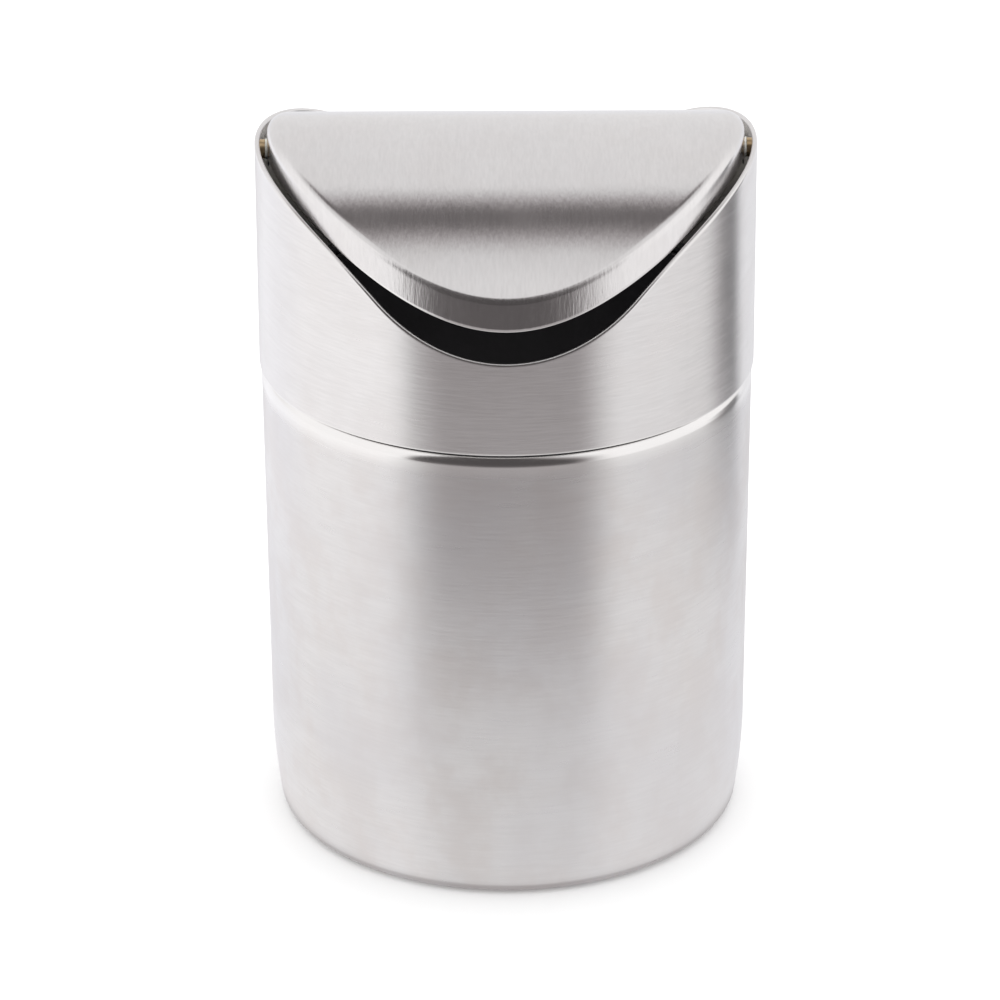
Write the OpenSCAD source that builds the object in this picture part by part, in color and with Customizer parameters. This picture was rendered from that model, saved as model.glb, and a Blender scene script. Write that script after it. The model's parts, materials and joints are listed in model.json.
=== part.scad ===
// Small round waste bin: a tapered steel body with a plastic liner, a lift-off collar
// with a scooped mouth, and an arched lid that swings freely inside the collar.
// +Z is up. The origin is the centre of the underside, on the surface the bin stands on.
// The front is -Y, and the lid swings about an axis along X.

/* [Body] */
// Outside radius of the body just under its shoulder
body_r = 59.5; // [59.2:0.1:59.8]
// Height at which the body's taper turns into its curved lower wall
belly_z = 26; // [20:1:40]
// Amount by which the body narrows from the shoulder down to the curved lower wall
body_taper = 0.8; // [0.4:0.1:1.6]
// Radius of the long curve that draws the lower wall in
belly_arc_r = 150; // [120:5:220]
// Radius of the corner between wall and underside
foot_corner_r = 3.2; // [2.5:0.1:4]
// Radius of the rounded shoulder under the collar
shoulder_r = 5; // [4:0.2:5.6]
// Thickness of the steel sheet
sheet = 0.6; // [0.5:0.05:0.7]

/* [Collar] */
// Outside radius of the collar
collar_r = 60; // [60:0.1:60.4]
// Height of the collar's lower edge
collar_z = 119.1; // [119:0.1:125]
// Height of the mouth's lowest point above the collar's lower edge
mouth_low = 23.4; // [22:0.1:26]
// Height of the two side peaks above the collar's lower edge
mouth_peak = 56.3; // [55.6:0.1:58]
// Radius of the hollow at the bottom of the mouth
mouth_hollow_r = 43.5; // [40:0.5:45]
// Radius of the rounded flanks between the hollow and the peaks
mouth_flank_r = 110; // [100:5:140]
// Depth of the folded hem along the mouth
hem_depth = 3; // [2:0.5:4]

/* [Lid] */
// Outside radius of the lid
lid_r = 57; // [56.7:0.1:57.3]
// Radius of the arch over the lid
arch_r = 70.5; // [69:0.5:76]
// Height of the arch's crown above the pivot axis
crown_rise = 7; // [6:0.1:8]
// Depth of the flange folded down round the lid
flange_depth = 7.4; // [6:0.1:8]
// Resting tilt of the lid, with the front edge raised
lid_tilt = 7.4; // [0:0.1:10]
// Radius of the ear round each pivot hole
ear_r = 4.2; // [3.5:0.1:4.5]

/* [Pivots] */
// Drop of the pivot axis below the side peaks
pivot_drop = 2.9; // [2.7:0.1:4]
// Radius of the pivot stud's shaft
stud_r = 1.25; // [1.1:0.05:1.4]
// Radial running clearance between the stud and its bush
bush_clearance = 0.06; // [0.03:0.01:0.1]

/* [Liner] */
// Outside radius of the liner just under its rim
liner_r = 56.4; // [56:0.1:56.5]
// Outside radius of the liner's floor
liner_floor_r = 52; // [48:0.5:53]
// Thickness of the liner's wall
liner_wall = 1; // [0.8:0.1:1.4]

/* [Hidden] */
$fn = 96;

steel = "silver";
tiny = 0.01;

// Levels of the underside, from the surface the bin stands on
foot_z = 0.4;
plate_z = foot_z + sheet;
pad_r = 49;
foot_inner_r = 50.5;
bead_r = 40;
bead_rise = 1;

// Neck that the collar slips over
neck_r = collar_r - 2.3;
neck_top_z = collar_z + 8.9;
body_low_r = body_r - body_taper;
belly_x = body_low_r - belly_arc_r;
corner_z = foot_z + foot_corner_r;
corner_x = belly_x + sqrt(pow(belly_arc_r - foot_corner_r, 2) - pow(belly_z - corner_z, 2));
corner_angle = -asin((belly_z - corner_z) / (belly_arc_r - foot_corner_r));
shoulder_x = body_r - shoulder_r;
shoulder_gap = 0.2;
shoulder_z = collar_z - shoulder_gap - sqrt(pow(shoulder_r, 2) - pow(neck_r - shoulder_x, 2));
plate_r = corner_x - 0.2;

// Liner rim, and the guide ring that lies over it
rim_t = 1.2;
rim_r = neck_r - 0.1;
liner_gap = 0.6;
liner_corner_r = 4;
rim_top_z = neck_top_z + rim_t;
ring_in_r = neck_r + 0.3;
ring_lip_r = liner_r;
ring_gap = 0.2;
ring_t = 1.6;
ring_z = collar_z + 0.5;

// Collar mouth: a hollow arc that meets a rounded flank on each side
wall_in_r = collar_r - sheet;
hem_in_r = collar_r - 1.3;
mouth_z = collar_z + mouth_low;
peak_rise = mouth_peak - mouth_low;
reach = mouth_hollow_r + mouth_flank_r;
mouth_c = (pow(reach, 2) + pow(collar_r, 2) + pow(peak_rise - mouth_hollow_r, 2)
    - pow(mouth_flank_r, 2)) / (2 * reach);
mouth_angle = asin(mouth_c / norm([collar_r, mouth_hollow_r - peak_rise]))
    - atan2(mouth_hollow_r - peak_rise, collar_r);
flank_x = reach * sin(mouth_angle);
flank_z = mouth_z + mouth_hollow_r - reach * cos(mouth_angle);
flank_start_z = mouth_z + mouth_hollow_r * (1 - cos(mouth_angle));
above = 30;

// Lid and pivots
pivot_z = collar_z + mouth_peak - pivot_drop;
arch_z = pivot_z + crown_rise - arch_r;
lid_sheet = 0.5;
lid_in_r = lid_r - lid_sheet;
head_r = 2.6;
head_t = 0.6;
spacer_r = 2.3;
bush_flange_t = 0.4;
bush_flange_r = 2.5;
bush_r = 1.75;
play = 0.1;
head_x = wall_in_r - head_t;
head_out_x = sqrt(pow(wall_in_r, 2) - pow(head_r, 2));
spacer_x = lid_r + bush_flange_t + play;
bush_tail_t = 0.7;
bush_in_x = lid_in_r - bush_tail_t;
cap_t = 1;
cap_x = bush_in_x - play - cap_t;
stud_end_x = cap_x - 1;
hem_relief_r = 5;

// Points along an arc in the profile plane, from angle a to angle b
function arc(x, z, r, a, b, steps) =
    [for (i = [0:steps]) let (t = a + (b - a) * i / steps) [x + r * cos(t), z + r * sin(t)]];

// Outline of the body wall, set in from the outside by t, from foot to neck
function body_wall(t) = concat(
    [[foot_inner_r, foot_z + t]],
    arc(corner_x, corner_z, foot_corner_r - t, -90, corner_angle, 8),
    arc(belly_x, belly_z, belly_arc_r - t, corner_angle * 0.75, 0, 4),
    arc(shoulder_x, shoulder_z, shoulder_r - t, 0, acos((neck_r - t - shoulder_x) / (shoulder_r - t)), 8),
    [[neck_r - t, neck_top_z]]
);

function reversed(points) = [for (i = [len(points) - 1:-1:0]) points[i]];

module tube(outer, inner, low, high) {
    translate([0, 0, low]) difference() {
        cylinder(r = outer, h = high - low);
        translate([0, 0, -1]) cylinder(r = inner, h = high - low + 2);
    }
}

// Space above the mouth's rim, through the collar from front to back
module mouth_space(drop = 0) {
    translate([0, 0, -drop]) rotate([90, 0, 0]) linear_extrude(height = 3 * collar_r, center = true) {
        translate([0, mouth_z + mouth_hollow_r]) circle(r = mouth_hollow_r);
        difference() {
            translate([-collar_r - 5, flank_start_z]) square([2 * collar_r + 10, above + mouth_peak]);
            for (side = [-1, 1]) translate([side * flank_x, flank_z]) circle(r = mouth_flank_r);
        }
    }
}

// Round bar along X that starts at x0 and ends at x1, on the pivot axis
module pivot_bar(r, x0, x1) {
    translate([x0, 0, pivot_z]) rotate([0, 90, 0]) cylinder(r = r, h = x1 - x0, $fn = 48);
}

// Barrel along X whose top is the lid's arch, lowered by drop and shrunk by t
module arch_barrel(t = 0, drop = 0) {
    translate([-collar_r, 0, arch_z - drop]) rotate([0, 90, 0])
        cylinder(r = arch_r - t, h = 2 * collar_r, $fn = 180);
}

// Right-hand pieces, or their mirror image on the left
module on_side(side) {
    if (side > 0) children();
    else mirror([1, 0, 0]) children();
}

// Lid pieces drawn level, turned to the resting tilt
module tilted() {
    translate([0, 0, pivot_z]) rotate([-lid_tilt, 0, 0]) translate([0, 0, -pivot_z]) children();
}

module body_shell() {
    color(steel) rotate_extrude() polygon(concat(body_wall(0), reversed(body_wall(sheet))));
}

module base_plate() {
    color(steel) rotate_extrude() polygon([
        [0, plate_z], [bead_r - 3, plate_z], [bead_r - 2, plate_z + bead_rise],
        [bead_r + 2, plate_z + bead_rise], [bead_r + 3, plate_z], [plate_r, plate_z],
        [plate_r, plate_z + sheet], [bead_r + 3.3, plate_z + sheet],
        [bead_r + 2.3, plate_z + bead_rise + sheet], [bead_r - 2.3, plate_z + bead_rise + sheet],
        [bead_r - 3.3, plate_z + sheet], [0, plate_z + sheet]
    ]);
}

module base_pad() {
    color("dimgray") cylinder(r = pad_r, h = plate_z);
}

module liner_bucket() {
    floor_z = plate_z + sheet + bead_rise + liner_gap;
    in_x = liner_floor_r - liner_corner_r;
    in_z = floor_z + liner_corner_r;
    color("dimgray") rotate_extrude() polygon(concat(
        [[0, floor_z]],
        arc(in_x, in_z, liner_corner_r, -90, 0, 6),
        [[liner_r, neck_top_z], [rim_r, neck_top_z], [rim_r, rim_top_z], [liner_r - liner_wall, rim_top_z]],
        arc(in_x, in_z, liner_corner_r - liner_wall, 0, -90, 6),
        [[0, floor_z + liner_wall]]
    ));
}

module collar_shell() {
    color(steel) {
        difference() {
            tube(collar_r, wall_in_r, collar_z, collar_z + mouth_peak + 10);
            mouth_space();
        }
        difference() {
            intersection() {
                tube(wall_in_r + tiny, hem_in_r, collar_z, collar_z + mouth_peak + 10);
                mouth_space(hem_depth);
            }
            mouth_space();
            pivot_bar(hem_relief_r, -collar_r - 1, collar_r + 1);
        }
    }
}

module collar_guide_ring() {
    lip_z = rim_top_z + ring_gap;
    color("dimgray") rotate_extrude() polygon([
        [ring_in_r, ring_z], [wall_in_r, ring_z], [wall_in_r, lip_z + ring_t],
        [ring_lip_r, lip_z + ring_t], [ring_lip_r, lip_z], [ring_in_r, lip_z]
    ]);
}

module lid_shell() {
    color(steel) tilted() difference() {
        union() {
            difference() {
                intersection() {
                    translate([0, 0, arch_z]) cylinder(r = lid_r, h = 2 * arch_r, $fn = 180);
                    arch_barrel();
                }
                intersection() {
                    translate([0, 0, arch_z - 1]) cylinder(r = lid_in_r, h = 2 * arch_r, $fn = 180);
                    arch_barrel(t = lid_sheet);
                }
                arch_barrel(drop = flange_depth);
            }
            intersection() {
                tube(lid_r, lid_in_r, pivot_z - 2 * ear_r, pivot_z + crown_rise / 2);
                pivot_bar(ear_r, -collar_r, collar_r);
            }
        }
        pivot_bar(bush_r, -collar_r, collar_r);
    }
}

module pivot_stud() {
    color("gray") {
        pivot_bar(stud_r, stud_end_x, head_x + tiny);
        pivot_bar(head_r, head_x, head_out_x);
    }
}

module pivot_spacer() {
    color("goldenrod") difference() {
        pivot_bar(spacer_r, spacer_x, head_x);
        pivot_bar(stud_r, spacer_x - 1, head_x + 1);
    }
}

module pivot_cap() {
    color("gray") difference() {
        pivot_bar(spacer_r, cap_x, cap_x + cap_t);
        pivot_bar(stud_r, cap_x - 1, cap_x + cap_t + 1);
    }
}

module lid_bush() {
    color("whitesmoke") tilted() difference() {
        union() {
            pivot_bar(bush_flange_r, lid_r, lid_r + bush_flange_t);
            pivot_bar(bush_r, bush_in_x, lid_r + tiny);
        }
        pivot_bar(stud_r + bush_clearance, bush_in_x - 1, lid_r + 1);
    }
}

body_shell();
base_plate();
base_pad();
liner_bucket();
collar_shell();
collar_guide_ring();
lid_shell();
on_side(-1) pivot_stud();  // pivot_stud_left
on_side(1) pivot_stud();  // pivot_stud_right
on_side(-1) pivot_spacer();  // pivot_spacer_left
on_side(1) pivot_spacer();  // pivot_spacer_right
on_side(-1) pivot_cap();  // pivot_cap_left
on_side(1) pivot_cap();  // pivot_cap_right
on_side(-1) lid_bush();  // lid_bush_left
on_side(1) lid_bush();  // lid_bush_right
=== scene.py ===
"""Looks of the swing-lid waste bin: formed steel sheet, moulded plastic, and studio light."""

import json
import math

import bmesh
import bpy
from mathutils import Matrix, Vector


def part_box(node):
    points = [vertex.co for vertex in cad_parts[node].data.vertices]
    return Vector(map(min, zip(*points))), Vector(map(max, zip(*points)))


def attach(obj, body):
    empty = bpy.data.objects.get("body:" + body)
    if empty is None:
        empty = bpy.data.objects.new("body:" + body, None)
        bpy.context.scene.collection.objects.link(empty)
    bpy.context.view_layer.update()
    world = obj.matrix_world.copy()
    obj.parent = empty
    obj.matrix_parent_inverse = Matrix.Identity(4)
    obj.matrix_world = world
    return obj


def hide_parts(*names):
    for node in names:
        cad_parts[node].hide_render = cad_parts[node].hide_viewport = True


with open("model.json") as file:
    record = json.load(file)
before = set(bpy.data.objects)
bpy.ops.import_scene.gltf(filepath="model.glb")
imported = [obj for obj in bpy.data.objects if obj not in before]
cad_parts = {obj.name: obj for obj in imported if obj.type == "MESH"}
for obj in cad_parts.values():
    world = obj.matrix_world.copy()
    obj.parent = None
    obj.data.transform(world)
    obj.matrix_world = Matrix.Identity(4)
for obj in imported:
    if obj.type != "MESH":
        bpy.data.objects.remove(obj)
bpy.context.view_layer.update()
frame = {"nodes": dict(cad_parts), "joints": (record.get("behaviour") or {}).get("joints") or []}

MM = 0.001
DEGREES = 180 / math.pi
SEGMENTS = 288

# Driving sizes, read from the frame
body_lo, body_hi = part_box("body_shell")
collar_lo, collar_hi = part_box("collar_shell")
liner_lo, liner_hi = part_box("liner_bucket")
ring_lo, ring_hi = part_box("collar_guide_ring")
plate_lo, plate_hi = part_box("base_plate")
pad_lo, pad_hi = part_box("base_pad")
lid_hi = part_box("lid_shell")[1]
JOINTS = {joint["name"]: joint for joint in frame["joints"]}
PIVOT_Z = JOINTS["lid_swing"]["pos_m"][2]

SHEET = 0.6 * MM
BODY_R = body_hi.x
COLLAR_R = collar_hi.x
LID_R = lid_hi.x
NECK_R = COLLAR_R - 2.3 * MM


# ---------------------------------------------------------------- mesh building

def arc(r, z, radius, start, end, steps):
    """Profile points on an arc round (r, z), from angle start to angle end in degrees."""
    turns = [math.radians(start + (end - start) * i / steps) for i in range(steps + 1)]
    return [(r + radius * math.cos(t), z + radius * math.sin(t)) for t in turns]


def rounded(corners, steps=5):
    """Closed outline through (r, z, fillet) corners, each fillet with a guard point on both sides."""
    outline = []
    count = len(corners)
    for i, (r, z, fillet) in enumerate(corners):
        here = Vector((r, z))
        if fillet <= 0:
            outline.append(tuple(here))
            continue
        back = (Vector(corners[i - 1][:2]) - here).normalized()
        ahead = (Vector(corners[(i + 1) % count][:2]) - here).normalized()
        half = back.angle(ahead) / 2
        reach = fillet / math.tan(half)
        centre = here + (back + ahead).normalized() * fillet / math.sin(half)
        spoke_a = here + back * reach - centre
        spoke_b = here + ahead * reach - centre
        outline.append(tuple(here + back * reach * 1.3))
        for k in range(steps + 1):
            spoke = spoke_a.lerp(spoke_b, k / steps).normalized() * fillet
            outline.append(tuple(centre + spoke))
        outline.append(tuple(here + ahead * reach * 1.3))
    return outline


class Skin:
    """A mesh made of loops of vertices, each loop with its own share of polished edge and painted
    highlight; below zero it marks an inside wall with painted bounce light.
    """

    def __init__(self):
        self.bm = bmesh.new()
        self.polish_and_painted_light = self.bm.verts.layers.float.new("polish_and_painted_light")
        self.loops = []

    def add(self, points, polish_and_painted_light=0.0):
        """Next loop of vertices; a single point is a pole."""
        loop = [self.bm.verts.new(p) for p in points]
        for vert in loop:
            vert[self.polish_and_painted_light] = polish_and_painted_light
        self.loops.append(loop)

    def bridge(self, closed):
        """Faces between each loop and the next, and back to the first one if closed."""
        pairs = list(zip(self.loops, self.loops[1:]))
        if closed:
            pairs.append((self.loops[-1], self.loops[0]))
        for a, b in pairs:
            for i in range(max(len(a), len(b))):
                corners = [a[i % len(a)], a[(i + 1) % len(a)], b[(i + 1) % len(b)], b[i % len(b)]]
                unique = list(dict.fromkeys(corners))
                if len(unique) > 2:
                    self.bm.faces.new(unique)

    def finish(self, name):
        """Smooth-shaded piece made from the loops."""
        bmesh.ops.recalc_face_normals(self.bm, faces=self.bm.faces)
        mesh = bpy.data.meshes.new(name)
        self.bm.to_mesh(mesh)
        self.bm.free()
        for face in mesh.polygons:
            face.use_smooth = True
        piece = bpy.data.objects.new(name, mesh)
        bpy.context.scene.collection.objects.link(piece)
        return piece


def around(r, z, turn):
    """Point at a radius and height, turned from the front towards +X."""
    return (r * math.sin(turn), -r * math.cos(turn), z)


def revolve(name, outline, polish_and_painted_light=None):
    """Turned piece from a closed outline of (r, z) points; points on the axis become poles."""
    skin = Skin()
    turns = [2 * math.pi * i / SEGMENTS for i in range(SEGMENTS)]
    for r, z in outline:
        share = polish_and_painted_light(r, z) if polish_and_painted_light else 0.0
        if r < 1e-7:
            skin.add([(0, 0, z)], share)
        else:
            skin.add([around(r, z, turn) for turn in turns], share)
    skin.bridge(True)
    return skin.finish(name)


# ---------------------------------------------------------------- body

SHOULDER_R = 4.2 * MM
SHOULDER_X = BODY_R - SHOULDER_R
SHOULDER_TOP = collar_lo.z - 0.2 * MM
SHOULDER_Z = SHOULDER_TOP - math.sqrt(SHOULDER_R ** 2 - (NECK_R - SHOULDER_X) ** 2)


def body_outline(inset):
    """Body wall from the corner of the underside up to the neck, set in from the outside.

    The belly starts just past the corner's arc, and the wall's points close up under the shoulder.
    """
    corner_r = 3.2 * MM
    belly_r = 150 * MM
    belly_z = 26 * MM
    low_r = BODY_R - 0.8 * MM
    belly_x = low_r - belly_r
    corner_z = body_lo.z + corner_r
    corner_x = belly_x + math.sqrt((belly_r - corner_r) ** 2 - (belly_z - corner_z) ** 2)
    corner_turn = -math.degrees(math.asin((belly_z - corner_z) / (belly_r - corner_r)))
    shoulder_end = math.degrees(math.acos((NECK_R - inset - SHOULDER_X) / (SHOULDER_R - inset)))
    outline = arc(corner_x, corner_z, corner_r - inset, -90, corner_turn, 14)
    outline += arc(belly_x, belly_z, belly_r - inset, corner_turn * 0.94, 0, 14)
    for share in [i / 12 for i in range(1, 12)] + [0.95, 0.97, 0.985]:
        r = low_r - inset + (BODY_R - low_r) * share
        outline.append((r, belly_z + (SHOULDER_Z - belly_z) * share))
    outline += arc(SHOULDER_X, SHOULDER_Z, SHOULDER_R - inset, 0, shoulder_end, 14)
    return outline


def make_body():
    """Body sheet: turned-in foot, wall, shoulder and the neck that the collar sits on."""
    foot_r = 50.5 * MM
    top = body_hi.z
    below_lip = top - 4 * MM
    buffed_highlight_top = SHOULDER_Z + 0.2 * MM
    buffed_highlight_fade = 3.2 * MM
    half = SHEET / 2
    lip = arc(NECK_R - half, top - half, half, 0, 180, 8)
    foot = arc(foot_r + half, body_lo.z + half, half, 90, 270, 8)
    outline = body_outline(0) + [(NECK_R, below_lip)] + lip
    outline += [(NECK_R - SHEET, below_lip)] + body_outline(SHEET)[::-1] + foot

    def polish_and_painted_light(r, z):
        """Buffed shoulder that fades out below it; its lighter colour is partly a painted highlight."""
        return min(1.0, max(0.0, 1.0 - (buffed_highlight_top - z) / buffed_highlight_fade))

    return revolve("steel_body", outline, polish_and_painted_light)


# ---------------------------------------------------------------- collar

# Seen from the front, the mouth's rim is a hollow arc that runs smoothly into a rounded flank on
# each side. MOUTH_TURN is the angle at which they meet.
HOLLOW_R = 43.5 * MM
FLANK_R = 110 * MM
MOUTH_LOW = collar_lo.z + 23.4 * MM
PEAK_RISE = collar_hi.z - MOUTH_LOW
MOUTH_REACH = HOLLOW_R + FLANK_R
MOUTH_TURN = math.asin(
    (MOUTH_REACH ** 2 + COLLAR_R ** 2 + (PEAK_RISE - HOLLOW_R) ** 2 - FLANK_R ** 2)
    / (2 * MOUTH_REACH * math.hypot(COLLAR_R, HOLLOW_R - PEAK_RISE))
) - math.atan2(HOLLOW_R - PEAK_RISE, COLLAR_R)
FLANK_X = MOUTH_REACH * math.sin(MOUTH_TURN)
FLANK_Z = MOUTH_LOW + HOLLOW_R - MOUTH_REACH * math.cos(MOUTH_TURN)


def rim_height(turn):
    """Height of the mouth's rim at a turn round the collar."""
    x = abs(COLLAR_R * math.sin(turn))
    if x < HOLLOW_R * math.sin(MOUTH_TURN):
        return MOUTH_LOW + HOLLOW_R - math.sqrt(HOLLOW_R ** 2 - x ** 2)
    return FLANK_Z + math.sqrt(FLANK_R ** 2 - (x - FLANK_X) ** 2)


def below_rim(turn, drop):
    """Turn and height of the point at a distance drop below the rim, square to it."""
    step = 1e-3
    slope = (rim_height(turn + step) - rim_height(turn - step)) / (2 * step * COLLAR_R)
    length = math.hypot(1, slope)
    return turn + drop * slope / length / COLLAR_R, rim_height(turn) - drop / length


def make_collar():
    """Collar sheet, with its rim folded inwards along the scooped mouth.

    The columns of points leave the rim square to it, and run straight down below the drop straight.
    """
    hem_t = 1.3 * MM
    hem_depth = 3 * MM
    edge = hem_t / 2
    bevel = 0.2 * MM
    above_bevel = collar_lo.z + 2.5 * bevel
    straight = 2.4 * MM
    bottom = collar_lo.z
    hem_r = COLLAR_R - hem_t
    wall_r = COLLAR_R - SHEET
    skin = Skin()
    count = 480
    turns = [2 * math.pi * i / count for i in range(count)]

    def ring(radius, drop, share=0.0, level=None, polish_and_painted_light=0.0):
        """Loop at a radius: drop below the rim, then a share of the way down, or at one level."""
        points = []
        for turn in turns:
            at, z = below_rim(turn, drop)
            z = z + (bottom - z) * share if level is None else level
            points.append(around(radius, z, at))
        skin.add(points, polish_and_painted_light)

    for r, drop in arc(COLLAR_R - edge, 0, edge, 180, 0, 10):
        ring(r, edge - drop, polish_and_painted_light=0.3)
    ring(COLLAR_R, edge * 1.4, polish_and_painted_light=0.1)
    for share in (0, 0.06, 0.15, 0.3, 0.5, 0.7, 0.86, 0.95):
        ring(COLLAR_R, straight, share)
    ring(COLLAR_R, straight, level=above_bevel)
    lower_edge = arc(COLLAR_R - bevel, bottom + bevel, bevel, 0, -90, 4)
    lower_edge += arc(wall_r + bevel, bottom + bevel, bevel, -90, -180, 4)
    # The collar's lower edge gets full polish: real wear plus a painted bright edge line
    for r, z in lower_edge:
        ring(r, straight, level=z, polish_and_painted_light=1.0)
    ring(wall_r, straight, level=above_bevel)
    # Inside wall: rougher, with a lighter colour that is painted bounce light
    for share in (0.7, 0.3, 0.1):
        ring(wall_r, straight, share, polish_and_painted_light=-1.0)
    ring(wall_r, hem_depth + 0.3 * MM, polish_and_painted_light=-1.0)
    ring(wall_r, hem_depth, polish_and_painted_light=-1.0)
    ring(hem_r + 0.12 * MM, hem_depth)
    ring(hem_r, hem_depth - 0.15 * MM, polish_and_painted_light=0.3)
    ring(hem_r, hem_depth - 0.5 * MM)
    ring(hem_r, edge * 1.6, polish_and_painted_light=0.4)
    skin.bridge(True)
    return skin.finish("steel_collar")


# ---------------------------------------------------------------- lid

LID_SHEET = 0.5 * MM
ARCH_R = 70.5 * MM
CROWN_RISE = 7 * MM
FLANGE_DEPTH = 7.4 * MM
FOLD_R = 2.8 * MM
EAR_R = 4.2 * MM
LID_TILT = math.radians(7.4)
ARCH_Z = PIVOT_Z + CROWN_RISE - ARCH_R


def arch(y, inset=0.0, drop=0.0):
    """Height of the lid's arch, with the lid level."""
    return ARCH_Z - drop + math.sqrt((ARCH_R - inset) ** 2 - y * y)


def lid_turns():
    """Turns round the lid, closer together beside the ears."""
    ear_span = 7
    turns = []
    degrees = 0.0
    while degrees < 359.99:
        turns.append(math.radians(degrees))
        beside_ear = abs(degrees % 180 - 90) < ear_span
        degrees += 0.25 if beside_ear else 1.0
    return turns


def fold(turn, inset):
    """Points (r, z) at one turn round the fold, from the arch to the flange.

    lean is the arch's slope where the fold meets it, found by repeated steps.
    """
    bend = FOLD_R - inset
    radius = LID_R - inset
    lean = 0.0
    for _ in range(12):
        r = radius - bend + bend * math.sin(lean)
        y = r * math.cos(turn)
        lean = math.atan(y * math.cos(turn) / math.sqrt((ARCH_R - inset) ** 2 - y * y))
    r = radius - bend + bend * math.sin(lean)
    centre_z = arch(r * math.cos(turn), inset) - bend * math.cos(lean)
    return arc(radius - bend, centre_z, bend, 90 - math.degrees(lean), 0, 10)


def flange_edge(turn):
    """Height of the flange's lower edge, which drops round each ear."""
    y = LID_R * math.cos(turn)
    z = arch(y, drop=FLANGE_DEPTH)
    if abs(y) < EAR_R:
        z = min(z, PIVOT_Z - math.sqrt(EAR_R ** 2 - y * y))
    return z


def make_lid():
    """Lid sheet: arched crown, folded flange and two ears, tilted to its rest angle."""
    turns = lid_turns()
    half = LID_SHEET / 2
    edges = [flange_edge(turn) + half for turn in turns]
    skin = Skin()

    def ring(points, polish_and_painted_light=0.0):
        """Loop through one (r, z) point at each turn."""
        skin.add([around(r, z, turn) for turn, (r, z) in zip(turns, points)], polish_and_painted_light)

    def crown(folds, inset, outward):
        """Loops between the middle of the crown and the flange."""
        shares = [k / 24 for k in range(1, 24)] + [0.985]
        made = [([(0, 0, arch(0, inset))], 0.0)]
        for share in shares:
            points = []
            for turn, bend in zip(turns, folds):
                r = bend[0][0] * share
                points.append(around(r, arch(r * math.cos(turn), inset), turn))
            made.append((points, 0.0))
        for k in range(len(folds[0])):
            points = [around(*bend[k], turn) for turn, bend in zip(turns, folds)]
            made.append((points, 0.15 if 0 < k < len(folds[0]) - 1 else 0.0))
        for points, polish_and_painted_light in made if outward else made[::-1]:
            skin.add(points, polish_and_painted_light)

    def flange(folds, radius, shares):
        """Loops at shares of the way from the fold down to the flange's edge."""
        for share in shares:
            tops = [bend[-1][1] for bend in folds]
            ring([(radius, top + (edge - top) * share) for top, edge in zip(tops, edges)])

    outer = [fold(turn, 0.0) for turn in turns]
    inner = [fold(turn, LID_SHEET) for turn in turns]
    crown(outer, 0.0, True)
    flange(outer, LID_R, (0.08, 0.35, 0.7, 0.92))
    # The flange's lower edge gets full polish: real wear plus a painted bright edge line
    for r, z in arc(LID_R - half, 0, half, 0, -180, 8):
        ring([(r, edge + z) for edge in edges], 1.0)
    flange(inner, LID_R - LID_SHEET, (0.92, 0.7, 0.35, 0.08))
    crown(inner, LID_SHEET, False)
    skin.bridge(False)
    tilt = Matrix.Translation((0, 0, PIVOT_Z)) @ Matrix.Rotation(-LID_TILT, 4, "X")
    tilt = tilt @ Matrix.Translation((0, 0, -PIVOT_Z))
    bmesh.ops.transform(skin.bm, matrix=tilt, verts=skin.bm.verts)
    return skin.finish("steel_lid")


# ---------------------------------------------------------------- liner, ring and base

def make_liner():
    """Plastic bucket with a flat flange at its mouth."""
    wall = 1 * MM
    top_r = 56.4 * MM
    low_r = 52 * MM
    low = liner_lo.z
    high = liner_hi.z
    flange_z = high - 1.2 * MM
    return revolve("liner_moulding", rounded([
        (0, low, 0), (low_r, low, 4 * MM), (top_r, flange_z, 0.3 * MM),
        (liner_hi.x, flange_z, 0.25 * MM), (liner_hi.x, high, 0.5 * MM),
        (top_r - wall, high, 0.5 * MM), (low_r - wall, low + wall, 3 * MM), (0, low + wall, 0),
    ], 6))


def make_guide_ring():
    """Plastic ring inside the collar, stepped to sit over the body's neck."""
    bore_r = NECK_R + 0.3 * MM
    lip_r = 56.4 * MM
    lip_z = ring_hi.z - 1.6 * MM
    small = 0.25 * MM
    return revolve("guide_ring_moulding", rounded([
        (bore_r, ring_lo.z, 0.5 * MM), (ring_hi.x, ring_lo.z, small),
        (ring_hi.x, ring_hi.z, small), (lip_r, ring_hi.z, small),
        (lip_r, lip_z, small), (bore_r, lip_z, small),
    ]))


def make_plate():
    """Pressed steel floor with one raised bead."""
    bead_r = 40 * MM
    low = plate_lo.z
    rise = 1 * MM
    soft = 0.5 * MM
    under = [
        (0, low, 0), (bead_r - 3 * MM, low, soft), (bead_r - 2 * MM, low + rise, soft),
        (bead_r + 2 * MM, low + rise, soft), (bead_r + 3 * MM, low, soft),
        (plate_hi.x, low, 0.15 * MM),
    ]
    above = [(r, z + SHEET, soft_here) for r, z, soft_here in under[::-1]]
    return revolve("pressed_floor", rounded(under + above))


def make_pad():
    """Thin foam disc under the body."""
    return revolve("foam_pad", rounded([
        (0, pad_lo.z, 0), (pad_hi.x, pad_lo.z, 0.35 * MM),
        (pad_hi.x, pad_hi.z, 0.1 * MM), (0, pad_hi.z, 0),
    ]))


# ---------------------------------------------------------------- materials

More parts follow.
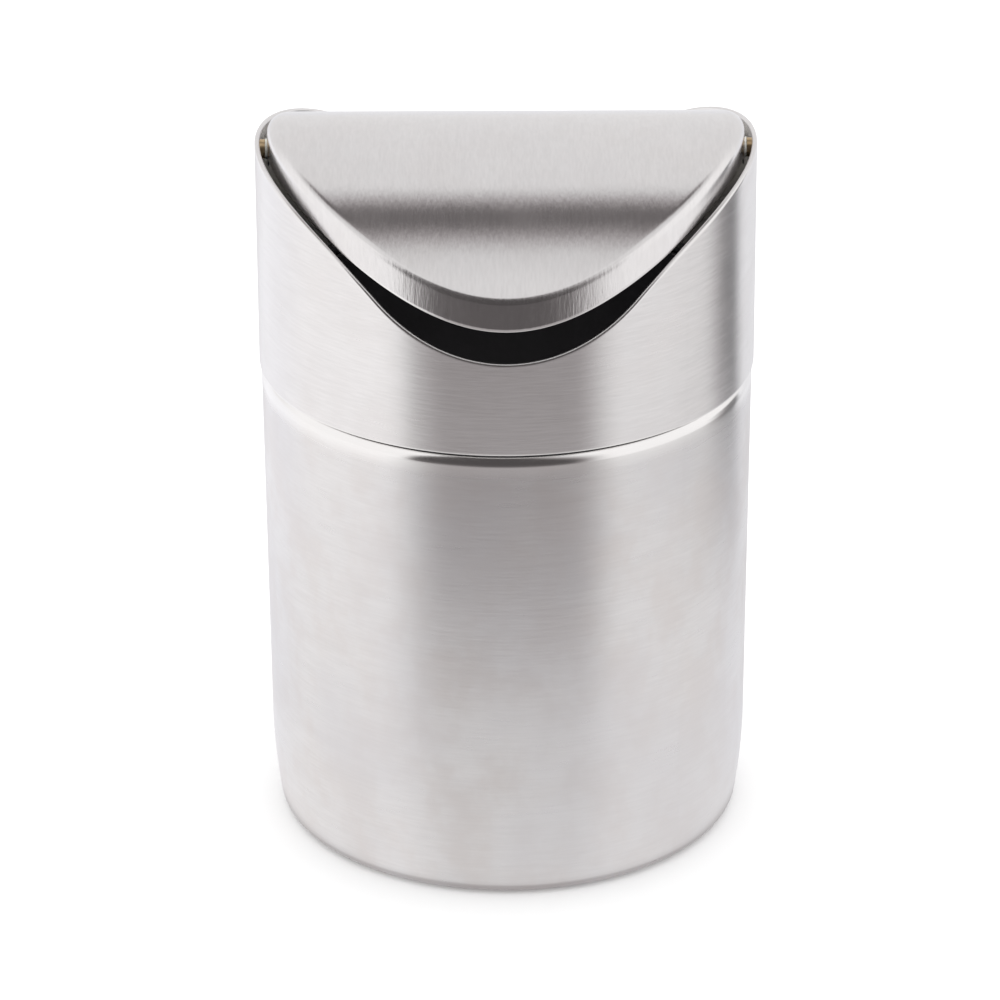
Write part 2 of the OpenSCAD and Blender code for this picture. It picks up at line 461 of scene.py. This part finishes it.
class Tree:
    """Adds nodes to a node tree and wires them; a socket or a number can stand for any input."""

    def __init__(self, tree):
        self.tree = tree

    def node(self, kind, inputs=None, **settings):
        """New node, with inputs by name or place and other settings by keyword."""
        made = self.tree.nodes.new(kind)
        for key, value in settings.items():
            setattr(made, key, value)
        for key, value in (inputs or {}).items():
            if isinstance(value, bpy.types.NodeSocket):
                self.tree.links.new(value, made.inputs[key])
            else:
                made.inputs[key].default_value = value
        return made

    def math(self, operation, a, b=0.0, clamp=False):
        """Result of one sum, product or other operation."""
        return self.node("ShaderNodeMath", {0: a, 1: b}, operation=operation, use_clamp=clamp).outputs[0]

    def length(self, a, b):
        """Length of the vector (a, b)."""
        return self.math("SQRT", self.math("ADD", self.math("MULTIPLY", a, a), self.math("MULTIPLY", b, b)))

    def turn(self, across, ahead):
        """Angle in degrees from the way ahead towards the way across."""
        return self.math("MULTIPLY", self.math("ARCTAN2", across, ahead), DEGREES)

    def fade(self, value, low, high):
        """Smooth step from 0 at low to 1 at high."""
        inputs = {"Value": value, "From Min": low, "From Max": high, "To Min": 0.0, "To Max": 1.0}
        return self.node("ShaderNodeMapRange", inputs, interpolation_type="SMOOTHSTEP").outputs[0]

    def between(self, value, low_out, low_in, high_in, high_out):
        """1 inside a range and 0 outside it, with soft ends."""
        return self.math("MULTIPLY", self.fade(value, low_out, low_in), self.fade(value, high_out, high_in))

    def blend(self, share, a, b):
        """Number between a and b."""
        return self.node("ShaderNodeMix", {0: share, 2: a, 3: b}, data_type="FLOAT").outputs[0]

    def colour(self, share, a, b):
        """Colour between a and b."""
        made = self.node("ShaderNodeMix", {0: share, 6: a, 7: b}, data_type="RGBA")
        return made.outputs[2]

    def noise(self, place, scale, detail=2.0, roughness=0.5):
        """Noise over a place stretched by a scale for each axis, in features per metre."""
        stretched = self.node("ShaderNodeMapping", {"Vector": place, "Scale": scale}).outputs[0]
        inputs = {"Vector": stretched, "Scale": 1.0, "Detail": detail, "Roughness": roughness}
        return self.node("ShaderNodeTexNoise", inputs).outputs[0]


def new_material(name):
    """New material, with what is needed to add nodes to it."""
    material = bpy.data.materials.new(name)
    material.use_nodes = True
    tree = Tree(material.node_tree)
    shader = material.node_tree.nodes["Principled BSDF"]
    place = tree.node("ShaderNodeTexCoord").outputs["Object"]
    return material, tree, shader, place


def wire(tree, shader, **inputs):
    """Sets a shader's inputs by name, with underscores for spaces."""
    for key, value in inputs.items():
        socket = shader.inputs[key.replace("_", " ")]
        if isinstance(value, bpy.types.NodeSocket):
            tree.tree.links.new(value, socket)
        else:
            socket.default_value = value


def brushed_steel(name, along, across, grain_axis, round_axis, roughness, anisotropy, mottle, tone, depth):
    """Steel with fine grain lines, soft blotches, polished edges and dull insides. The polished edges and
    shoulder turn lighter, partly as real wear and partly as a painted highlight; the insides turn lighter
    as painted bounce light.

    along and across are features per metre with and across the grain. grain_axis says which
    coordinate changes across the grain, and the grain runs round round_axis. depth is that of the
    grain in metres.
    """
    material, tree, shader, place = new_material(name)
    scale = [along] * 3
    scale[grain_axis] = across
    fine = tree.noise(place, scale, 3.0, 0.6)
    scale = [along * 0.3] * 3
    scale[grain_axis] = across * 0.3
    coarse = tree.noise(place, scale, 2.0, 0.55)
    blotch = tree.noise(place, (75, 75, 60), 4.0, 0.6)
    cloud = tree.noise(place, (26, 26, 20), 3.0, 0.5)
    polish_and_painted_light = tree.node("ShaderNodeAttribute", attribute_name="polish_and_painted_light").outputs["Fac"]
    lines = tree.math("ADD", tree.math("MULTIPLY", fine, 0.65), tree.math("MULTIPLY", coarse, 0.35))
    smudge = tree.fade(blotch, 0.38, 0.66)
    dark = (tone - 0.02, tone - 0.035, tone - 0.035, 1)
    light = (tone + 0.03, tone + 0.015, tone + 0.015, 1)
    grained = tree.colour(tree.fade(lines, 0.3, 0.7), dark, light)
    stained = tree.colour(tree.math("MULTIPLY", smudge, mottle), grained, (0.68, 0.63, 0.61, 1))
    clouded = tree.math("MULTIPLY", tree.fade(cloud, 0.4, 0.62), mottle)
    tinted = tree.colour(clouded, stained, (0.67, 0.66, 0.68, 1))
    # Polished edges and the buffed shoulder get a lighter colour: partly real wear, partly a painted
    # highlight
    wear_and_highlight = tree.colour(tree.math("MULTIPLY", polish_and_painted_light, 0.7, clamp=True), tinted, (0.88, 0.87, 0.86, 1))
    # Inside walls are rougher, and their lighter, warmer colour is painted bounce light
    inside = tree.fade(polish_and_painted_light, -0.2, -1)
    shade = tree.colour(inside, wear_and_highlight, (0.86, 0.84, 0.80, 1))
    rough = tree.math("ADD", roughness - 0.03, tree.math("MULTIPLY", lines, 0.06))
    rough = tree.math("ADD", rough, tree.math("MULTIPLY", smudge, 0.04))
    rough = tree.blend(tree.math("MULTIPLY", polish_and_painted_light, 0.85, clamp=True), rough, 0.14)
    rough = tree.blend(inside, rough, 0.5)
    plain = tree.math("SUBTRACT", 1.0, tree.math("MULTIPLY", polish_and_painted_light, 0.9), clamp=True)
    relief = tree.math("MULTIPLY", lines, plain)
    bump = tree.node("ShaderNodeBump", {"Height": relief, "Strength": 1.0, "Distance": depth})
    tangent = tree.node("ShaderNodeTangent", direction_type="RADIAL", axis=round_axis)
    wire(tree, shader, Base_Color=shade, Metallic=1.0, Roughness=rough, Anisotropic=anisotropy,
         Anisotropic_Rotation=0.25, Normal=bump.outputs[0], Tangent=tangent.outputs[0])
    return material


def plain_metal(name, dark, light, roughness):
    """Turned or rolled metal with fine mottling between a dark and a light colour."""
    material, tree, shader, place = new_material(name)
    grain = tree.noise(place, (900, 900, 900), 4.0, 0.6)
    cloud = tree.noise(place, (160, 160, 160), 3.0, 0.5)
    both = tree.math("ADD", tree.math("MULTIPLY", grain, 0.5), tree.math("MULTIPLY", cloud, 0.5))
    tone = tree.colour(tree.fade(both, 0.35, 0.65), dark, light)
    rough = tree.math("ADD", roughness - 0.05, tree.math("MULTIPLY", both, 0.12))
    bump = tree.node("ShaderNodeBump", {"Height": grain, "Strength": 0.2, "Distance": 0.03 * MM})
    wire(tree, shader, Base_Color=tone, Metallic=1.0, Roughness=rough, Normal=bump.outputs[0])
    return material


def moulded_plastic(name, dark, light, roughness, pebbles, depth):
    """Moulded plastic or rubber with a fine pebbled surface and faint scuffs, in pebbles per metre."""
    material, tree, shader, place = new_material(name)
    pebble = tree.noise(place, (pebbles,) * 3, 3.0, 0.55)
    cloud = tree.noise(place, (45, 45, 45), 4.0, 0.6)
    tone = tree.colour(tree.fade(cloud, 0.35, 0.7), dark, light)
    rough = tree.math("ADD", roughness - 0.06, tree.math("MULTIPLY", cloud, 0.14))
    bump = tree.node("ShaderNodeBump", {"Height": pebble, "Strength": 0.5, "Distance": depth})
    wire(tree, shader, Base_Color=tone, Roughness=rough, Normal=bump.outputs[0])
    return material


# ---------------------------------------------------------------- studio

def warmth(tree, light):
    """The dark parts of the studio are a little warmer than the bright ones."""
    return tree.colour(tree.fade(light, 0.15, 0.85), (1, 0.92, 0.925, 1), (1, 0.99, 0.99, 1))


def make_floor():
    """White sweep. For reflected rays it glows instead, with a painted pattern of light that is pale close
    to the bin and dark far out in front.

    The reflected pattern fans out from a point in front of the bin's axis. reach is the distance
    from that point in metres, side is the angle from straight ahead in degrees, positive on the
    right, and the other numbers are brightness.
    """
    fan_y = -0.033
    bpy.ops.mesh.primitive_plane_add(size=8)
    floor = bpy.context.object
    floor.name = "floor"
    material, tree, shader, place = new_material("pale_floor")
    wire(tree, shader, Base_Color=(0.94, 0.94, 0.94, 1), Roughness=0.9)
    spot = tree.node("ShaderNodeSeparateXYZ", {0: place}).outputs
    ahead = tree.math("SUBTRACT", fan_y, spot[1])
    side = tree.turn(spot[0], ahead)
    off_front = tree.math("ABSOLUTE", side)
    reach = tree.length(spot[0], ahead)
    # Ahead: pale near the bin, grey further out, then dark, with edges that grow sharper
    near = tree.blend(tree.fade(reach, 0.13, 0.20), 0.88, 0.44)
    deep = tree.blend(tree.fade(reach, 0.42, 0.75), near, 0.13)
    beyond = tree.fade(reach, 0.42, 0.6)
    edge_sides = ((-62, -49), (-27, -42), (33, 28), (56, 50))
    edges = [tree.blend(beyond, close_by, far_out) for close_by, far_out in edge_sides]
    front = tree.between(side, *edges)
    # At the sides
    far = tree.fade(reach, 0.16, 0.26)
    left = tree.blend(far, 1.04, 1.13)
    right = tree.blend(far, 0.97, tree.blend(tree.fade(side, 70, 115), 0.90, 0.74))
    right = tree.blend(beyond, right, 1.1)
    sides = tree.blend(tree.fade(side, -20, 20), left, right)
    # A darker strip far out, behind on the right
    strip = tree.math("MULTIPLY", tree.between(side, 99, 120, 126, 131), tree.fade(reach, 0.282, 0.30))
    sides = tree.blend(strip, sides, 0.24)
    sides = tree.blend(tree.fade(side, 129, 137), sides, 0.95)
    # All round, with the back and a painted contact shadow where the bin stands
    light = tree.blend(front, sides, deep)
    light = tree.blend(tree.fade(off_front, 140, 165), light, 0.88)
    # Painted contact shadow: the floor's reflected glow is darker close round the foot
    past_painted_contact_shadow = tree.fade(tree.length(spot[0], spot[1]), BODY_R - 2 * MM, BODY_R + 1 * MM)
    light = tree.math("MULTIPLY", light, tree.blend(past_painted_contact_shadow, 0.6, 1.0))
    behind = tree.fade(off_front, 100, 130)
    tint = tree.colour(behind, warmth(tree, light), (0.975, 0.975, 1, 1))
    # The floor glows only for reflected rays: a painted reflection pattern, not a lamp
    glow = tree.node("ShaderNodeEmission", {"Color": tint, "Strength": light})
    glossy = tree.node("ShaderNodeLightPath").outputs["Is Glossy Ray"]
    both = tree.node("ShaderNodeMixShader", {0: glossy, 1: shader.outputs[0], 2: glow.outputs[0]})
    tree.tree.links.new(both.outputs[0], tree.tree.nodes["Material Output"].inputs["Surface"])
    floor.data.materials.append(material)


def make_studio():
    """Soft studio light: bright side walls, panels overhead with a gap between them, a dark front.

    side and rise are a direction's angles round the bin and above the floor, and pitch is its
    angle over the bin from the front to the back, all in degrees. The rest is brightness.
    """
    world = bpy.data.worlds.new("studio")
    bpy.context.scene.world = world
    world.use_nodes = True
    tree = Tree(world.node_tree)
    background = world.node_tree.nodes["Background"]
    way = tree.node("ShaderNodeTexCoord").outputs["Generated"]
    parts = tree.node("ShaderNodeSeparateXYZ", {0: way}).outputs
    ahead = tree.math("MULTIPLY", parts[1], -1.0)
    side = tree.turn(parts[0], ahead)
    rise = tree.math("MULTIPLY", tree.math("ARCSINE", parts[2]), DEGREES)
    pitch = tree.turn(parts[2], ahead)
    walls = tree.blend(tree.fade(tree.math("ABSOLUTE", side), 105, 150), 1.1, 0.88)
    # Overhead, from the front to the back, with a narrow gap across the middle
    over = tree.blend(tree.between(pitch, 70, 86, 104, 112), 0.87, 0.79)
    gap = tree.between(pitch, 82, 100, 103, 119)
    gap = tree.math("MULTIPLY", gap, tree.fade(tree.math("ABSOLUTE", parts[0]), 0.52, 0.28))
    over = tree.blend(gap, over, 0.165)
    bright = tree.blend(tree.fade(rise, 36, 56), walls, over)
    # The dark front is a dome, with a sharp edge on the left and a soft one on the right
    half_width = 50
    height = 67
    across = tree.math("DIVIDE", side, half_width)
    up = tree.math("DIVIDE", tree.math("MAXIMUM", rise, 0.0), height)
    dome = tree.length(across, up)
    on_right = tree.fade(side, 0, 20)
    rim_in = tree.blend(on_right, 0.84, 0.58)
    rim_out = tree.blend(on_right, 0.92, 0.98)
    light = tree.blend(tree.fade(dome, rim_out, rim_in), bright, 0.09)
    kind = tree.node("ShaderNodeLightPath").outputs
    tint = tree.colour(kind["Is Glossy Ray"], (1, 1, 1, 1), warmth(tree, light))
    light = tree.blend(kind["Is Diffuse Ray"], light, 1.5)
    light = tree.blend(kind["Is Camera Ray"], light, 1.0)
    wire(tree, background, Color=tint, Strength=light)


def make_fill():
    """Faint light inside the bin, so that its mouth shows dark plastic and not a black hole."""
    data = bpy.data.lights.new("fill", "POINT")
    data.energy = 0.02
    data.shadow_soft_size = 0.025
    fill = bpy.data.objects.new("fill", data)
    fill.location = (0, -0.01, 0.075)
    fill.visible_camera = False
    fill.visible_glossy = False
    bpy.context.scene.collection.objects.link(fill)


def make_camera():
    """Camera in front of the bin with a long lens, looking down on it by about 25 degrees."""
    distance = 1.4
    tilt = math.radians(25.355)
    roll = -0.0040
    target = Vector((0, 0, 79.4 * MM))
    back = Vector((0, -math.cos(tilt), math.sin(tilt)))
    right = Vector((1, 0, 0))
    up = Vector((0, math.sin(tilt), math.cos(tilt)))
    turned_right = right * math.cos(roll) + up * math.sin(roll)
    turned_up = up * math.cos(roll) - right * math.sin(roll)
    data = bpy.data.cameras.new("camera")
    data.sensor_width = 36
    data.lens = 204.96
    data.shift_x = -0.0072
    data.clip_start = 0.05
    data.clip_end = 50
    camera = bpy.data.objects.new("camera", data)
    place = Matrix((turned_right, turned_up, back)).transposed().to_4x4()
    place.translation = target + back * distance
    camera.matrix_world = place
    bpy.context.scene.collection.objects.link(camera)
    bpy.context.scene.camera = camera


# ---------------------------------------------------------------- assembly

def dress(piece, material):
    """Gives a piece one material all over."""
    piece.data.materials.clear()
    piece.data.materials.append(material)
    for face in piece.data.polygons:
        face.material_index = 0


def stand_in(piece, body, node, material):
    """piece replaces a CAD node, which it hides, and rides on its body."""
    dress(piece, material)
    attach(piece, body)
    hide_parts(node)


steel_round = brushed_steel(
    "steel_body_satin", along=130, across=1500, grain_axis=2, round_axis="Z",
    roughness=0.28, anisotropy=0.45, mottle=0.4, tone=0.73, depth=0.03 * MM)
steel_collar = brushed_steel(
    "steel_collar_brushed", along=150, across=1900, grain_axis=2, round_axis="Z",
    roughness=0.23, anisotropy=0.8, mottle=0.12, tone=0.755, depth=0.04 * MM)
steel_lid = brushed_steel(
    "steel_lid_brushed", along=320, across=1900, grain_axis=0, round_axis="X",
    roughness=0.16, anisotropy=0.82, mottle=0.1, tone=0.755, depth=0.06 * MM)
mill_steel = plain_metal("steel_mill", (0.56, 0.56, 0.55, 1), (0.68, 0.68, 0.67, 1), 0.42)
stud_steel = plain_metal("steel_turned", (0.50, 0.50, 0.49, 1), (0.66, 0.66, 0.65, 1), 0.30)
brass = plain_metal("brass_turned", (0.42, 0.30, 0.17, 1), (0.64, 0.49, 0.30, 1), 0.32)
nylon = moulded_plastic(
    "nylon_natural", (0.70, 0.69, 0.63, 1), (0.80, 0.79, 0.74, 1),
    roughness=0.42, pebbles=2500, depth=0.03 * MM)
black_plastic = moulded_plastic(
    "plastic_black", (0.055, 0.052, 0.056, 1), (0.075, 0.07, 0.076, 1),
    roughness=0.38, pebbles=1800, depth=0.06 * MM)
ring_plastic = moulded_plastic(
    "plastic_ring", (0.05, 0.048, 0.052, 1), (0.07, 0.067, 0.072, 1),
    roughness=0.38, pebbles=2600, depth=0.03 * MM)
foam = moulded_plastic(
    "foam_rubber", (0.02, 0.02, 0.022, 1), (0.045, 0.045, 0.047, 1),
    roughness=0.8, pebbles=1200, depth=0.2 * MM)

stand_in(make_body(), "bin", "body_shell", steel_round)
stand_in(make_plate(), "bin", "base_plate", mill_steel)
stand_in(make_pad(), "bin", "base_pad", foam)
stand_in(make_liner(), "liner", "liner_bucket", black_plastic)
stand_in(make_collar(), "collar", "collar_shell", steel_collar)
stand_in(make_guide_ring(), "collar", "collar_guide_ring", ring_plastic)
stand_in(make_lid(), "lid", "lid_shell", steel_lid)
pivot_looks = {"pivot_stud": stud_steel, "pivot_spacer": brass, "pivot_cap": stud_steel, "lid_bush": nylon}
for part, material in pivot_looks.items():
    for end in ("left", "right"):
        dress(frame["nodes"][f"{part}_{end}"], material)

make_floor()
make_studio()
make_fill()
make_camera()
bpy.context.scene.view_settings.view_transform = "Standard"
